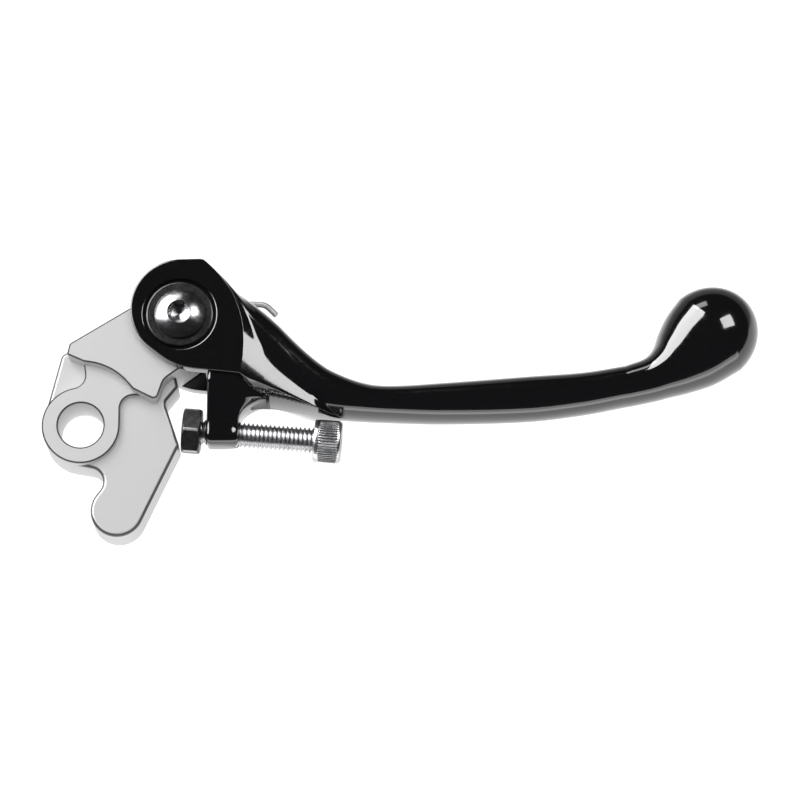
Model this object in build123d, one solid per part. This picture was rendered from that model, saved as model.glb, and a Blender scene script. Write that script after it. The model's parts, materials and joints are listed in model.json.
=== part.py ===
from build123d import *
from math import acos, atan2, cos, hypot, pi, radians, sin
import os

# A folding clutch lever for a hydraulic master cylinder: a machined knuckle that swings on the
# perch bolt, and a forged arm that folds outward on the knuckle against a torsion spring.
# Origin: centre of the perch bore, at the middle plane of the knuckle. +X runs towards the ball
# end, +Y points away from the handlebar, +Z is up. Millimetres throughout.

# ---- driving dimensions -----------------------------------------------------------------------

# Levels of the knuckle
BASE_Z = -6.5
PLATE_BASE_Z = -6.2
PLATE_Z = 4.3
BOSS_Z = 6.5
TONGUE_Z = 9.8
EDGE_ROUND = 0.9
EDGE_BREAK = 0.35

# Perch bore
BORE_R = 5.25
BOSS_R = 9.0
BORE_CHAMFER = 0.35

# Fold pivot, parallel to the perch bore
FOLD = (22.85, 24.6)
TONGUE_END_R = 9.6
POCKET_R = 8.3
POCKET_LOW = -1.75
POCKET_HIGH = 4.75
ANCHOR_HOLE_R = 0.8
WINDOW_ROOT_R = 4.0
WINDOW_REACH = 14.0
WINDOW_LEFT = 3.0
WINDOW_LOW = 8.0

# Pivot stack
BOLT_R = 2.95
SLEEVE_R = 4.0
SLEEVE_BORE_R = 3.05
BUSH_R = 5.2
BUSH_BORE_R = 4.04
THRUST_R = 7.6
THRUST_T = 0.4
THRUST_GAP = 0.06
BOLT_HOLE_GAP = 0.1
WASHER_GAP = 0.15
HEAD_WASHER_R = 7.7
HEAD_WASHER_T = 1.0
HEAD_R = 5.8
HEAD_H = 2.9
HEAD_RIM = 0.6
HEAD_SOCKET = 4.0
HEAD_SOCKET_DEPTH = 2.2
NUT_WASHER_R = 6.2
NUT_WASHER_T = 0.8
PIVOT_NUT_FLAT = 10.0
PIVOT_NUT_H = 4.4
NYLON_R = 4.3
NYLON_BORE_R = 2.98
NYLON_H = 1.4
NYLON_LIP = 0.2
BOLT_END = 0.8
THREAD_GAP = 0.04

# Forged arm
MID_Z = 1.6
ARM_HALF = 12.4
HUB_EDGE = 0.6
SHOULDER_HALF = 10.6
SHOULDER_ROUND = 2.5
COUNTERBORE_R = 8.6
COUNTERBORE_DEPTH = 1.5
NUT_BORE_R = 7.0
NUT_BORE_DEPTH = 1.7
FORK_CLEAR_R = 10.3
FORK_GAP = 2 * THRUST_GAP + THRUST_T
LEG_GROOVE = (-2.8, 0.9)
GROOVE_GAP = 0.4

# Blade stations: along X, centre Y, half width, half height, squareness of the section
BLADE = [
    (34.0, 19.3, 10.0, 10.6, 3.4),
    (38.9, 17.15, 10.5, 11.0, 3.4),
    (44.9, 14.7, 9.85, 10.6, 3.0),
    (51.3, 11.0, 7.2, 9.5, 2.4),
    (57.9, 8.05, 5.3, 8.3, 2.1),
    (64.3, 6.6, 4.4, 7.7, 2.0),
    (70.8, 6.05, 4.16, 7.4, 2.0),
    (83.8, 6.25, 4.7, 7.4, 2.0),
    (103.4, 7.3, 5.2, 7.4, 2.0),
    (116.4, 8.6, 4.9, 7.2, 2.0),
    (126.2, 10.35, 4.75, 7.1, 2.0),
]
# Ball end stations: centre X, centre Y, heading of the section in degrees, half width, half height
BALL = [
    (131.2, 11.8, 6.0, 5.1, 7.3),
    (134.45, 13.5, 21.0, 5.95, 7.9),
    (137.45, 15.85, 30.0, 7.75, 8.9),
    (141.3, 18.95, 35.0, 9.65, 10.2),
    (144.8, 21.8, 39.0, 10.8, 11.0),
    (147.95, 24.9, 41.0, 10.6, 10.7),
    (151.0, 27.6, 41.0, 8.5, 8.5),
    (153.1, 29.4, 41.0, 5.2, 5.2),
    (154.2, 30.4, 41.0, 2.0, 2.0),
]
SECTION_POINTS = 24

# Reach adjuster: an M6 cap screw with a lock nut at its tip, slightly tilted in the arm
ADJUST_AT = (28.9, -0.6)
ADJUST_TILT = -4.5
SCREW_R = 2.95
SCREW_HOLE_R = 3.02
SCREW_TIP = -4.9
SCREW_LENGTH = 30.0
CAP_R = 5.0
CAP_H = 6.0
CAP_SOCKET = 5.0
CAP_SOCKET_DEPTH = 3.0
CAP_EDGE = 0.5
TIP_TAPER = 0.7
SCREW_HOLE = (-5.0, 21.0)
LOCK_NUT_FLAT = 10.0
LOCK_NUT_H = 4.35
LOCK_NUT_START = -5.65
LOCK_NUT_TURN = 8.6
LOCK_NUT_CHAMFER = 0.3
LUG_LENGTH = 6.8
LUG_R = 3.85
LUG_ROOT = (9.5, 11.0)

# Torsion spring
WIRE_R = 0.7
COIL_R = 6.6
COIL_PITCH = 1.43
COIL_TURNS = 3.15
LEG_START = 89.0
LEG_LENGTH = 17.9
HOOK_R = 3.0
HOOK_TURN = 43.0
HOOK_TIP = 2.6
ANCHOR_LEG = 9.0
ANCHOR_BARE = 3.0
ANCHOR_END_GAP = 0.4


# ---- drawing helpers --------------------------------------------------------------------------

def tangent_points(a, b):
    """Ends of the straight run between two outline circles (x, y, r); r < 0 curves inward."""
    across = hypot(b[0] - a[0], b[1] - a[1])
    normal = atan2(b[1] - a[1], b[0] - a[0]) + acos((b[2] - a[2]) / across)
    nx, ny = cos(normal), sin(normal)
    return (a[0] - a[2] * nx, a[1] - a[2] * ny), (b[0] - b[2] * nx, b[1] - b[2] * ny)


def belt(*circles):
    """Plan outline that runs anticlockwise round circles (x, y, r) as a belt runs round pulleys."""
    runs = [tangent_points(a, b) for a, b in zip(circles, circles[1:] + circles[:1])]
    edges = []
    for i, (x, y, r) in enumerate(circles):
        arrive, leave = runs[i - 1][1], runs[i][0]
        if hypot(arrive[0] - leave[0], arrive[1] - leave[1]) > 1e-4:
            start = atan2(arrive[1] - y, arrive[0] - x)
            stop = atan2(leave[1] - y, leave[0] - x)
            sweep = (stop - start) % (2 * pi) if r > 0 else -((start - stop) % (2 * pi))
            middle = start + sweep / 2
            half_way = (x + abs(r) * cos(middle), y + abs(r) * sin(middle))
            edges.append(ThreePointArc(arrive, half_way, leave))
        edges.append(Line(leave, runs[i][1]))
    return make_face(edges)


def slab(sketch, low, high):
    """A plan outline extruded from one level to another."""
    return extrude(Pos(0, 0, low) * sketch, high - low)


def disc(radius, low, high, at=(0, 0)):
    """A round solid standing at a level."""
    return slab(Pos(*at) * Circle(radius), low, high)


def ring(outer, inner, low, high, at=(0, 0)):
    """A round solid with a hole."""
    return disc(outer, low, high, at) - disc(inner, low - 1, high + 1, at)


def edges_at(shape, level):
    """All edges that lie flat at a level."""
    flat = shape.edges().filter_by(lambda e: e.bounding_box().size.Z < 1e-4)
    return flat.filter_by(lambda e: abs(e.bounding_box().min.Z - level) < 1e-4)


def beside(point, towards, distance):
    """A point moved by a distance in a direction given as a unit vector."""
    return (point[0] + distance * towards[0], point[1] + distance * towards[1])


# ---- torsion spring ---------------------------------------------------------------------------

COIL_RISE = COIL_PITCH * COIL_TURNS
COIL_LOW = MID_Z - COIL_RISE / 2
COIL_HIGH = MID_Z + COIL_RISE / 2
COIL_SLOPE = COIL_PITCH / (2 * pi * COIL_R)
ANCHOR_ANGLE = LEG_START + 360 * COIL_TURNS


def coil_point(angle, level):
    """A point on the coil's centre line at an angle in degrees."""
    turn = radians(angle)
    return Vector(FOLD[0] + COIL_R * cos(turn), FOLD[1] + COIL_R * sin(turn), level)


def along_coil(angle):
    """Direction in which the wire runs at an angle of the rising coil."""
    turn = radians(angle)
    return Vector(-sin(turn), cos(turn), COIL_SLOPE).normalized()


ANCHOR_START = coil_point(ANCHOR_ANGLE, COIL_HIGH)
ANCHOR_END = ANCHOR_START + along_coil(ANCHOR_ANGLE) * ANCHOR_LEG


def make_spring():
    """Close turns round the pivot sleeve, a leg in the knuckle and a leg behind the arm."""
    leg_start = coil_point(LEG_START, COIL_LOW)
    outward = -along_coil(LEG_START)
    leg_end = leg_start + outward * LEG_LENGTH
    hook_plane = Plane(origin=leg_end, x_dir=outward, z_dir=Vector(0, 0, 1) - outward * outward.Z)
    hook = hook_plane * JernArc((0, 0), (1, 0), HOOK_R, -HOOK_TURN)
    tip_along = hook % 1
    tip = Line(hook @ 1, hook @ 1 + tip_along * HOOK_TIP)
    turns = Helix(COIL_PITCH, COIL_RISE, COIL_R, center=(*FOLD, COIL_LOW))
    turns = turns.rotate(Axis((*FOLD, 0), (0, 0, 1)), LEG_START)
    path = Wire([tip, hook, Line(leg_end, leg_start), turns, Line(ANCHOR_START, ANCHOR_END)])
    section = Plane(origin=tip @ 1, z_dir=tip_along) * Circle(WIRE_R)
    return sweep(section, path=path)


def anchor_hole():
    """Drilled hole in the knuckle that holds the spring's fixed leg."""
    start = ANCHOR_START + along_coil(ANCHOR_ANGLE) * ANCHOR_BARE
    depth = ANCHOR_LEG - ANCHOR_BARE + ANCHOR_END_GAP
    drill = Plane(origin=start, z_dir=along_coil(ANCHOR_ANGLE))
    return extrude(drill * Circle(ANCHOR_HOLE_R), depth)


# ---- knuckle ----------------------------------------------------------------------------------

# Straight back edge shared by the wedge and the tongue: a point, its direction and its outside
BACK_AT = (-2.6, 18.6)
BACK_ALONG = (cos(radians(31.6)), sin(radians(31.6)))
BACK_OUT = (-BACK_ALONG[1], BACK_ALONG[0])


def back_corner(along, radius):
    """Outline circle that touches the back edge from inside; a negative radius is outside it."""
    x, y = beside(beside(BACK_AT, BACK_ALONG, along), BACK_OUT, -radius)
    return (x, y, radius)


TONGUE_END = (*FOLD, TONGUE_END_R)
BEHIND_HUB = back_corner(17.6, -2.0)


def plate_outline():
    """Low plate: left wedge, tail that pushes the piston, and the stop corner on the right."""
    tail = (8.6, -19.6, 6.15)
    stop_corner = (21.1, -4.15, 1.4)
    inner_bend = (20.75, 5.6, -1.4)
    under_tongue = (21.1, 9.9, 1.0)
    notch = (1.95, -12.85, -3.25)
    return belt(tail, stop_corner, inner_bend, under_tongue, (21.3, 14.0, 0), TONGUE_END,
                BEHIND_HUB, back_corner(-2.2, 1.3), (0, 0, BOSS_R), notch)


def tongue_outline():
    """High tongue that enters the fork of the arm; its inner edge is an arc about the bore."""
    step = 14.25
    lower_corner = (16.9, 6.65, 1.1)
    right_bend = (22.0, 8.0, -3.3)
    heel = (27.0, 15.8, 0)
    return belt((0.6, 14.32, 0), (0, 0, -step), (12.1, 7.8, 0), lower_corner, right_bend, heel,
                TONGUE_END, BEHIND_HUB, back_corner(0.3, 0.9), (-2.65, 16.3, 0.5))


def web_outline():
    """Boss round the perch bore and the web that joins it to the tongue."""
    return belt((0, 0, BOSS_R), (12.1, 4.0, -3.1), (14.5, 7.0, 0), (14.0, 10.5, 0),
                (0.2, 16.0, 0), (-2.25, 11.85, -3.05))


def make_knuckle():
    """Machined knuckle in three levels, with the perch bore and a forked tongue."""
    plate = slab(plate_outline(), PLATE_BASE_Z, PLATE_Z)
    plate = fillet(edges_at(plate, PLATE_Z), EDGE_ROUND)
    plate = chamfer(edges_at(plate, PLATE_BASE_Z), EDGE_BREAK)
    lower_boss = disc(BOSS_R, BASE_Z, 0)
    lower_boss = chamfer(edges_at(lower_boss, BASE_Z), EDGE_BREAK)
    web = slab(web_outline(), 0, BOSS_Z)
    web = chamfer(edges_at(web, BOSS_Z), EDGE_BREAK)
    tongue = slab(tongue_outline(), BASE_Z, TONGUE_Z)
    tongue = chamfer(edges_at(tongue, TONGUE_Z) + edges_at(tongue, BASE_Z), EDGE_BREAK)
    body = plate + lower_boss + web + tongue

    bore = disc(BORE_R, BASE_Z, BOSS_Z)
    for level, flip in ((BASE_Z, 1), (BOSS_Z, -1)):
        lip = Cone(BORE_R + BORE_CHAMFER, BORE_R, BORE_CHAMFER)
        bore += Pos(0, 0, level + flip * BORE_CHAMFER / 2) * Rot(0 if flip > 0 else 180, 0, 0) * lip
    body -= bore

    pocket = disc(POCKET_R, POCKET_LOW, POCKET_HIGH, FOLD)
    right, top = FOLD[0] + WINDOW_REACH, FOLD[1] + WINDOW_REACH
    window = belt((*FOLD, WINDOW_ROOT_R), (right, FOLD[1] - WINDOW_LOW, 0), (right, top, 0),
                  (FOLD[0] - WINDOW_LEFT, top, 0))
    pocket += slab(window, POCKET_LOW, POCKET_HIGH)
    body -= disc(BUSH_R, BASE_Z - 1, TONGUE_Z + 1, FOLD)
    body -= pocket
    return body - anchor_hole()


# ---- pivot stack ------------------------------------------------------------------------------

ARM_TOP = MID_Z + ARM_HALF
ARM_BOTTOM = MID_Z - ARM_HALF
FORK_TOP = TONGUE_Z + FORK_GAP
FORK_BOTTOM = BASE_Z - FORK_GAP
HEAD_SEAT = ARM_TOP - COUNTERBORE_DEPTH
NUT_SEAT = ARM_BOTTOM + NUT_BORE_DEPTH


def hexagon(across_flats):
    """Hexagon with a corner on the X axis."""
    return RegularPolygon(across_flats / 2, 6, major_radius=False)


def make_bushes():
    """Two bronze bushes pressed in the upper and lower prongs of the tongue."""
    upper = ring(BUSH_R, BUSH_BORE_R, POCKET_HIGH, TONGUE_Z, FOLD)
    lower = ring(BUSH_R, BUSH_BORE_R, BASE_Z, POCKET_LOW, FOLD)
    return upper, lower


def make_sleeve():
    """Steel sleeve clamped between the two ears; the bushes turn on it."""
    return ring(SLEEVE_R, SLEEVE_BORE_R, FORK_BOTTOM, FORK_TOP, FOLD)


def make_thrust_washers():
    """Thin washers that fill the gaps between the tongue and the ears."""
    low = TONGUE_Z + THRUST_GAP
    upper = ring(THRUST_R, SLEEVE_R + BOLT_HOLE_GAP, low, low + THRUST_T, FOLD)
    high = BASE_Z - THRUST_GAP
    lower = ring(THRUST_R, SLEEVE_R + BOLT_HOLE_GAP, high - THRUST_T, high, FOLD)
    return upper, lower


def make_head_washer():
    """Large washer that lies in the upper counterbore."""
    washer = ring(HEAD_WASHER_R, BOLT_R + WASHER_GAP, HEAD_SEAT, HEAD_SEAT + HEAD_WASHER_T, FOLD)
    return chamfer(edges_at(washer, HEAD_SEAT + HEAD_WASHER_T), 0.2)


def make_pivot_bolt():
    """Button head bolt with a hexagon socket, down through the whole stack."""
    seat = HEAD_SEAT + HEAD_WASHER_T
    rise = HEAD_H - HEAD_RIM
    crown = (HEAD_R ** 2 + rise ** 2) / (2 * rise)
    dome = Pos(*FOLD, seat + HEAD_H - crown) * Sphere(crown)
    head = disc(HEAD_R, seat, seat + HEAD_H, FOLD) & dome
    top = seat + HEAD_H
    socket = slab(Pos(*FOLD) * hexagon(HEAD_SOCKET), top - HEAD_SOCKET_DEPTH, top)
    end = NUT_SEAT - NUT_WASHER_T - PIVOT_NUT_H - NYLON_H - BOLT_END
    shank = disc(BOLT_R, end, seat, FOLD)
    shank = chamfer(edges_at(shank, end), 0.5)
    return head + shank - socket


def make_nut_washer():
    """Plain washer in the lower counterbore."""
    return ring(NUT_WASHER_R, BOLT_R + WASHER_GAP, NUT_SEAT - NUT_WASHER_T, NUT_SEAT, FOLD)


def make_pivot_nut():
    """Self-locking nut: a hexagon with a round collar that holds the nylon ring."""
    top = NUT_SEAT - NUT_WASHER_T
    collar_end = top - PIVOT_NUT_H - NYLON_H
    body = slab(Pos(*FOLD) * hexagon(PIVOT_NUT_FLAT), top - PIVOT_NUT_H, top)
    body += disc(PIVOT_NUT_FLAT / 2 - NYLON_LIP, collar_end, top - PIVOT_NUT_H, FOLD)
    body -= disc(BOLT_R + THREAD_GAP, collar_end, top, FOLD)
    return body - disc(NYLON_R, collar_end + NYLON_LIP, top - PIVOT_NUT_H, FOLD)


def make_nylon_ring():
    """Nylon insert of the self-locking nut."""
    high = NUT_SEAT - NUT_WASHER_T - PIVOT_NUT_H
    return ring(NYLON_R, NYLON_BORE_R, high - NYLON_H + NYLON_LIP, high, FOLD)


# ---- reach adjuster ---------------------------------------------------------------------------

ADJUST = Pos(*ADJUST_AT, MID_Z) * Rot(0, 0, ADJUST_TILT) * Rot(0, 90, 0)


def along_screw(sketch, start, stop):
    """A section across the screw's axis extruded from one distance to another."""
    return ADJUST * extrude(Pos(0, 0, start) * sketch, stop - start)


def make_adjuster_screw():
    """Cap screw that sets how far the arm stands from the bar."""
    under_head = SCREW_TIP + SCREW_LENGTH
    shank = along_screw(Circle(SCREW_R), SCREW_TIP, under_head)
    end = under_head + CAP_H
    head = extrude(Pos(0, 0, under_head) * Circle(CAP_R), CAP_H)
    head = ADJUST * chamfer(edges_at(head, end), CAP_EDGE)
    socket = along_screw(hexagon(CAP_SOCKET), end - CAP_SOCKET_DEPTH, end)
    tip_cone = Cone(SCREW_R, SCREW_R - TIP_TAPER, TIP_TAPER)
    tip = ADJUST * Pos(0, 0, SCREW_TIP - TIP_TAPER / 2) * Rot(180, 0, 0) * tip_cone
    return shank + head + tip - socket


def make_lock_nut():
    """Hexagon nut at the screw's tip; its outer face faces the knuckle's stop corner."""
    stop = LOCK_NUT_START + LOCK_NUT_H
    blank = extrude(Pos(0, 0, LOCK_NUT_START) * hexagon(LOCK_NUT_FLAT), LOCK_NUT_H)
    turned = extrude(Pos(0, 0, LOCK_NUT_START) * Circle(LOCK_NUT_FLAT / 3 ** 0.5), LOCK_NUT_H)
    rims = edges_at(turned, LOCK_NUT_START) + edges_at(turned, stop)
    blank = blank & chamfer(rims, LOCK_NUT_CHAMFER, 2 * LOCK_NUT_CHAMFER)
    hole = extrude(Pos(0, 0, LOCK_NUT_START) * Circle(SCREW_R + THREAD_GAP), LOCK_NUT_H)
    return ADJUST * Rot(0, 0, LOCK_NUT_TURN) * (blank - hole)


# ---- forged arm -------------------------------------------------------------------------------

def section_face(x, y, heading, half_width, half_height, squareness):
    """Rounded section of the arm that stands across its run."""
    power = 2 / squareness
    points = []
    for i in range(SECTION_POINTS):
        turn = 2 * pi * i / SECTION_POINTS
        c, s = cos(turn), sin(turn)
        points.append((half_width * abs(c) ** power * (1 if c > 0 else -1),
                       half_height * abs(s) ** power * (1 if s > 0 else -1)))
    across = (-sin(radians(heading)), cos(radians(heading)), 0)
    along = (cos(radians(heading)), sin(radians(heading)), 0)
    plane = Plane(origin=(x, y, MID_Z), x_dir=across, z_dir=along)
    return plane * make_face(Spline(*points, periodic=True))


def hub_outline():
    """Flat fork end of the arm, up to the crease where the blade begins."""
    return belt((23.2, 26.0, 11.7), (28.0, 27.0, 15.45), (36.6, 11.4, 0.8), (17.2, 18.2, 20.6),
                (33.4, 30.2, 0.8))


def shoulder_outline():
    """Lower step behind the crease that carries the hub's back edge down to the blade."""
    return belt((23.2, 26.0, 11.7), (34.5, 15.5, 3.0), (41.0, 15.0, 3.0), (38.9, 23.7, 4.8))


def fork_opening():
    """Room between the ears for the tongue, from rest to fully folded out."""
    return belt((*FOLD, FORK_CLEAR_R), (30.0, 52.0, 0), (-5.0, 52.0, 0), (-5.0, -4.0, 0),
                (28.9, -4.0, 0), (28.9, 13.0, 0))


def leg_groove():
    """Groove behind the arm through which the spring's moving leg comes out."""
    floor = FOLD[1] + COIL_R - WIRE_R - GROOVE_GAP
    return belt((29.0, floor, 0), (48.0, floor, 0), (48.0, 45.0, 0), (29.0, 45.0, 0))


def make_arm():
    """Forged arm: fork, blade, ball end and the lug for the adjuster."""
    stations = [section_face(x, y, 0.0, w, h, n) for x, y, w, h, n in BLADE]
    stations += [section_face(x, y, t, w, h, 2.0) for x, y, t, w, h in BALL]
    blade = loft(stations)
    hub = slab(hub_outline(), ARM_BOTTOM, ARM_TOP)
    hub = fillet(edges_at(hub, ARM_TOP) + edges_at(hub, ARM_BOTTOM), HUB_EDGE)
    shoulder = slab(shoulder_outline(), MID_Z - SHOULDER_HALF, MID_Z + SHOULDER_HALF)
    rims = edges_at(shoulder, MID_Z - SHOULDER_HALF) + edges_at(shoulder, MID_Z + SHOULDER_HALF)
    shoulder = fillet(rims, SHOULDER_ROUND)
    arm = hub + shoulder + blade + make_lug()

    arm -= slab(fork_opening(), FORK_BOTTOM, FORK_TOP)
    arm -= slab(leg_groove(), *LEG_GROOVE)
    arm -= disc(COUNTERBORE_R, HEAD_SEAT, ARM_TOP + 1, FOLD)
    arm -= disc(NUT_BORE_R, ARM_BOTTOM - 1, NUT_SEAT, FOLD)
    arm -= disc(BOLT_R + BOLT_HOLE_GAP, ARM_BOTTOM - 1, ARM_TOP + 1, FOLD)
    return arm - along_screw(Circle(SCREW_HOLE_R), *SCREW_HOLE)


def make_lug():
    """Tapered post that carries the adjuster's threaded barrel down from the arm."""
    half, reach = LUG_ROOT
    profile = belt((0, 0, LUG_R), (half, reach, 1.0), (-half, reach, 1.0))
    return along_screw(profile, 0, LUG_LENGTH)


# ---- write every piece ------------------------------------------------------------------------

def main():
    os.makedirs("parts", exist_ok=True)
    upper_bush, lower_bush = make_bushes()
    upper_thrust_washer, lower_thrust_washer = make_thrust_washers()
    pieces = {
        "knuckle": make_knuckle(),
        "upper_bush": upper_bush,
        "lower_bush": lower_bush,
        "pivot_sleeve": make_sleeve(),
        "upper_thrust_washer": upper_thrust_washer,
        "lower_thrust_washer": lower_thrust_washer,
        "torsion_spring": make_spring(),
        "pivot_bolt": make_pivot_bolt(),
        "head_washer": make_head_washer(),
        "nut_washer": make_nut_washer(),
        "pivot_nut": make_pivot_nut(),
        "nylon_ring": make_nylon_ring(),
        "lever_arm": make_arm(),
        "adjuster_screw": make_adjuster_screw(),
        "adjuster_lock_nut": make_lock_nut(),
    }
    for name, piece in pieces.items():
        export_step(piece, f"parts/{name}.step")


main()
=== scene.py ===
import json
from math import acos, atan2, cos, exp, hypot, pi, radians, sin, sqrt

import bmesh
import bpy
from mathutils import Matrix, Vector


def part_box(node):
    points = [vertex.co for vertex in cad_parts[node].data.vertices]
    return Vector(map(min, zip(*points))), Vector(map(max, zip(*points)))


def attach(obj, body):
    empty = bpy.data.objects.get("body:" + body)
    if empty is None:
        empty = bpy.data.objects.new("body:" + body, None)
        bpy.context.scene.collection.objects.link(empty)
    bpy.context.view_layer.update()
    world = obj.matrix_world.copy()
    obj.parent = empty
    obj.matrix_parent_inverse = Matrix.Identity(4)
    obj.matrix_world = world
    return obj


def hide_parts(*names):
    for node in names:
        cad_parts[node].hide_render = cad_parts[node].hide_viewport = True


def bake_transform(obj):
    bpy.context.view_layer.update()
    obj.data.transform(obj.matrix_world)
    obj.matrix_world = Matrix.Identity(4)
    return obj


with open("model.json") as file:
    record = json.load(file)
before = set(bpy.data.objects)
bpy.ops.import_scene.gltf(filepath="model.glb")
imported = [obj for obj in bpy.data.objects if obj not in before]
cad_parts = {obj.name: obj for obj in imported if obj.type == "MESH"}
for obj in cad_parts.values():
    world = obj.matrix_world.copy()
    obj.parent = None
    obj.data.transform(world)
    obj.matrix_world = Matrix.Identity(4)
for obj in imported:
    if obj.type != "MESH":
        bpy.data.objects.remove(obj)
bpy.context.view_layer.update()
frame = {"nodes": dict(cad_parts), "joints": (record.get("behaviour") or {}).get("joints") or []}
MM = 0.001

# ---- places taken from the frame, in millimetres ----------------------------------------------


def box_mm(node):
    """Lowest and highest corners of a node."""
    low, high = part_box(node)
    return low / MM, high / MM


def centre_mm(node):
    low, high = box_mm(node)
    return (low + high) / 2


UP, RIGHT = Vector((0, 0, 1)), Vector((1, 0, 0))
HINGE = centre_mm("pivot_bolt")
HINGE_AT = Vector((HINGE.x, HINGE.y, 0))
ARM_LOW, ARM_HIGH = (v.z for v in box_mm("lever_arm"))
MID = (ARM_LOW + ARM_HIGH) / 2
HALF = (ARM_HIGH - ARM_LOW) / 2
SLOT_LOW, SLOT_HIGH = (v.z for v in box_mm("pivot_sleeve"))
SEAT, WASHER_TOP = (v.z for v in box_mm("head_washer"))
NUT_SEAT = box_mm("nut_washer")[1].z
SHANK_LOW = box_mm("pivot_bolt")[0].z
turn_joint = next(j for j in frame["joints"] if j["name"] == "adjuster_turn")
SCREW_AT = Vector(turn_joint["pos_m"]) / MM
SCREW_ALONG = Vector(turn_joint["axis"]).normalized()
SCREW_ACROSS = Vector((-SCREW_ALONG.y, SCREW_ALONG.x, 0))
SCREW_THIRD = SCREW_ALONG.cross(SCREW_ACROSS)

# ---- mesh helpers -----------------------------------------------------------------------------


def new_object(name, bm, sharp=32):
    """A mesh object in metres from a bmesh in millimetres, smooth but for its sharp edges."""
    bmesh.ops.remove_doubles(bm, verts=bm.verts, dist=1e-4)
    bmesh.ops.dissolve_degenerate(bm, edges=bm.edges, dist=1e-5)
    bmesh.ops.recalc_face_normals(bm, faces=bm.faces)
    bmesh.ops.scale(bm, vec=(MM, MM, MM), verts=bm.verts)
    mesh = bpy.data.meshes.new(name)
    bm.to_mesh(mesh)
    bm.free()
    smooth(mesh, sharp)
    obj = bpy.data.objects.new(name, mesh)
    bpy.context.scene.collection.objects.link(obj)
    return obj


def smooth(mesh, sharp):
    """Smooth shading, except across edges sharper than an angle in degrees."""
    mesh.polygons.foreach_set("use_smooth", [True] * len(mesh.polygons))
    mesh.set_sharp_from_angle(angle=radians(sharp))
    mesh.update()


def skin(rows, ring=True, caps=True):
    """A bmesh whose faces join rows of points; ring closes each row on itself."""
    bm = bmesh.new()
    verts = [[bm.verts.new(p) for p in row] for row in rows]
    count = len(rows[0])
    for a, b in zip(verts, verts[1:]):
        for j in range(count if ring else count - 1):
            k = (j + 1) % count
            bm.faces.new((a[j], a[k], b[k], b[j]))
    if caps:
        bm.faces.new(verts[0][::-1])
        bm.faces.new(verts[-1])
    return bm


def turned(rows, at, along, across, count):
    """Rows of (height, radius) turned about an axis; a radius may be a function of the angle."""
    third = along.cross(across)
    points = []
    for height, radius in rows:
        row = []
        for j in range(count):
            angle = 2 * pi * j / count
            r = radius(angle) if callable(radius) else radius
            row.append(at + along * height + across * (r * cos(angle)) + third * (r * sin(angle)))
        points.append(row)
    return skin(points)


def tangent_points(a, b):
    """Ends of the straight line that leaves circle a and arrives at circle b."""
    across = hypot(b[0] - a[0], b[1] - a[1])
    normal = atan2(b[1] - a[1], b[0] - a[0]) + acos((b[2] - a[2]) / across)
    nx, ny = cos(normal), sin(normal)
    return (a[0] - a[2] * nx, a[1] - a[2] * ny), (b[0] - b[2] * nx, b[1] - b[2] * ny)


def belt(*circles, step=4.0):
    """Points of the outline that runs anticlockwise round circles (x, y, r); r < 0 is inward."""
    runs = [tangent_points(a, b) for a, b in zip(circles, circles[1:] + circles[:1])]
    points = []
    for i, (x, y, r) in enumerate(circles):
        arrive, leave = runs[i - 1][1], runs[i][0]
        if abs(r) < 1e-6:
            points.append((x, y))
            continue
        start = atan2(arrive[1] - y, arrive[0] - x)
        stop = atan2(leave[1] - y, leave[0] - x)
        sweep = (stop - start) % (2 * pi) if r > 0 else -((start - stop) % (2 * pi))
        n = max(2, int(abs(sweep) / radians(step)))
        for k in range(n + 1):
            angle = start + sweep * k / n
            points.append((x + abs(r) * cos(angle), y + abs(r) * sin(angle)))
    return points


def add_to(bm, other):
    """Moves the faces of other into bm."""
    mesh = bpy.data.meshes.new("part")
    other.to_mesh(mesh)
    other.free()
    bm.from_mesh(mesh)
    bpy.data.meshes.remove(mesh)
    return bm


def prism(outline, low, high):
    """A straight-sided solid on a plan outline, between two heights."""
    return skin([[(x, y, low) for x, y in outline], [(x, y, high) for x, y in outline]])


def lookup(keys, x):
    """Smooth curve through rows of (x, value, ...); gives the values at x."""
    if x <= keys[0][0]:
        return keys[0][1:]
    if x >= keys[-1][0]:
        return keys[-1][1:]
    i = max(k for k in range(len(keys) - 1) if keys[k][0] <= x)
    a, b = keys[i], keys[i + 1]
    before, after = keys[max(i - 1, 0)], keys[min(i + 2, len(keys) - 1)]
    h = b[0] - a[0]
    t = (x - a[0]) / h
    out = []
    for v0, v1, va, vb in zip(a[1:], b[1:], before[1:], after[1:]):
        m0 = (v1 - va) / (b[0] - before[0]) * h
        m1 = (vb - v0) / (after[0] - a[0]) * h
        t2, t3 = t * t, t * t * t
        out.append((2 * t3 - 3 * t2 + 1) * v0 + (t3 - 2 * t2 + t) * m0
                   + (3 * t2 - 2 * t3) * v1 + (t3 - t2) * m1)
    return out


def boolean(obj, others, operation):
    """Joins others to obj or cuts them from it, and removes them."""
    group = bpy.data.collections.new("tools")
    for other in others:
        group.objects.link(other)
    tool = obj.modifiers.new("tool", "BOOLEAN")
    tool.operation = operation
    tool.solver = "EXACT"
    tool.operand_type = "COLLECTION"
    tool.collection = group
    graph = bpy.context.evaluated_depsgraph_get()
    mesh = bpy.data.meshes.new_from_object(obj.evaluated_get(graph))
    obj.modifiers.clear()
    old = obj.data
    obj.data = mesh
    bpy.data.meshes.remove(old)
    for other in others:
        bpy.data.objects.remove(other)
    bpy.data.collections.remove(group)


# ---- materials --------------------------------------------------------------------------------


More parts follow.
